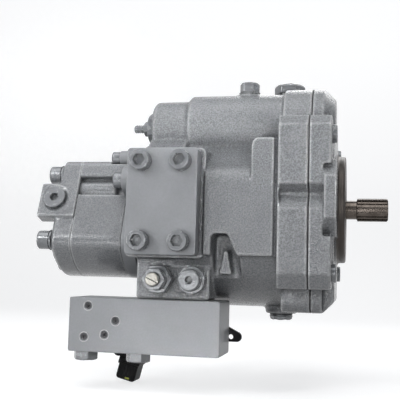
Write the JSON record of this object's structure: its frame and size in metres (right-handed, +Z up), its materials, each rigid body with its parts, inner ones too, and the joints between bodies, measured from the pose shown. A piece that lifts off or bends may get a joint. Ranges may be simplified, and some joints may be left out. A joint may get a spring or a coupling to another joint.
{
  "type": "axial piston pump",
  "caption": "Variable axial piston pump in a grey cast housing, with a splined shaft, a gear pump behind it and a valve block below.",
  "frame": {"origin": "centre of the mounting flange face, on the shaft axis", "axes": "+X out of the shaft end, +Z up, the suction port faces -Y"},
  "size_m": [0.3335, 0.207, 0.2922],
  "materials": {
    "cast_paint": "grey metallic paint over rough iron casting",
    "smooth_paint": "grey metallic paint over machined faces",
    "fastener_paint": "grey metallic paint over steel fasteners",
    "shaft_steel": "dark oiled steel",
    "inner_steel": "ground steel",
    "bronze": "bearing bronze",
    "black_rubber": "black rubber",
    "black_plastic": "black moulded plastic",
    "zinc": "bright zinc plate",
    "black_steel": "black oxide steel"
  },
  "bodies": {
    "housing": {"pump_housing": "cast_paint", "front_cover": "cast_paint", "cover_gasket": "black_rubber", "cover_screws": "fastener_paint", "shaft_seal": "black_rubber", "seal_retaining_ring": "inner_steel", "front_bearing_outer": "inner_steel", "rear_bearing_outer": "inner_steel", "swash_cradle": "inner_steel", "cradle_liners": "bronze", "valve_plate": "bronze", "bias_spring": "inner_steel", "limiter_cap": "fastener_paint", "limiter_nut": "fastener_paint", "suction_plate": "smooth_paint", "suction_plate_screws": "fastener_paint", "suction_seal_ring": "black_rubber", "relief_valve_body": "fastener_paint", "relief_lock_nut": "fastener_paint", "relief_spring": "inner_steel", "valve_plug": "fastener_paint", "bleed_plug": "fastener_paint", "case_plug": "fastener_paint", "drain_plug": "fastener_paint", "gear_adapter": "smooth_paint", "gear_body": "cast_paint", "gear_cover": "cast_paint", "gear_cover_screws": "fastener_paint", "gear_mount_screws": "fastener_paint", "gear_port_plug": "fastener_paint", "front_bearing_block": "bronze", "rear_bearing_block": "bronze", "manifold_block": "smooth_paint", "manifold_set_plugs": "black_steel", "manifold_hex_plugs": "fastener_paint", "manifold_screws": "black_steel", "solenoid_valve": "inner_steel", "solenoid_coil": "black_plastic", "solenoid_nut": "black_steel", "harness_clip": "black_plastic", "clip_screw": "inner_steel"},
    "shaft_group": {"drive_shaft": "shaft_steel", "front_bearing_inner": "inner_steel", "front_bearing_balls": "inner_steel", "rear_bearing_inner": "inner_steel", "rear_bearing_balls": "inner_steel", "cylinder_barrel": "inner_steel", "pistons": "inner_steel", "slipper_shoes": "bronze", "retainer_plate": "inner_steel", "ball_guide": "inner_steel", "barrel_spring": "inner_steel", "coupling_sleeve": "inner_steel", "drive_gear": "inner_steel"},
    "driven_gear": {"driven_gear": "inner_steel"},
    "swash": {"swash_plate": "inner_steel"},
    "control": {"control_piston": "inner_steel"},
    "limiter": {"limiter_screw": "fastener_paint"},
    "adjuster": {"relief_adjuster": "zinc"},
    "poppet": {"relief_poppet": "inner_steel"}
  },
  "joints": [
    {"name": "shaft_spin", "type": "hinge", "parent": "housing", "child": "shaft_group", "pos_m": [0, 0, 0], "axis": [1, 0, 0], "continuous": true},
    {"name": "driven_gear_spin", "type": "hinge", "parent": "housing", "child": "driven_gear", "pos_m": [-0.23, -0.01026, -0.02819], "axis": [1, 0, 0], "continuous": true},
    {"name": "swash_tilt", "type": "hinge", "parent": "housing", "child": "swash", "pos_m": [-0.058, 0, 0], "axis": [0, -1, 0], "range_deg": [0, 17], "deforming": ["pistons", "slipper_shoes", "retainer_plate"]},
    {"name": "control_stroke", "type": "slide", "parent": "housing", "child": "control", "axis": [-1, 0, 0], "range_m": [0, 0.02285], "deforming": ["bias_spring"]},
    {"name": "limiter_turn", "type": "hinge", "parent": "housing", "child": "limiter", "pos_m": [-0.19, -0.02, 0.077], "axis": [-1, 0, 0], "range_deg": [-180, 180]},
    {"name": "adjuster_turn", "type": "hinge", "parent": "housing", "child": "adjuster", "pos_m": [-0.15505, -0.095, -0.07], "axis": [0, -1, 0], "range_deg": [-180, 180]},
    {"name": "poppet_lift", "type": "slide", "parent": "housing", "child": "poppet", "axis": [0, -1, 0], "range_m": [0, 0.002], "deforming": ["relief_spring"]}
  ],
  "couplings": [
    {"joint": "driven_gear_spin", "follows": "shaft_spin", "ratio": -1},
    {"joint": "control_stroke", "follows": "swash_tilt", "m_per_rad": 0.077}
  ]
}
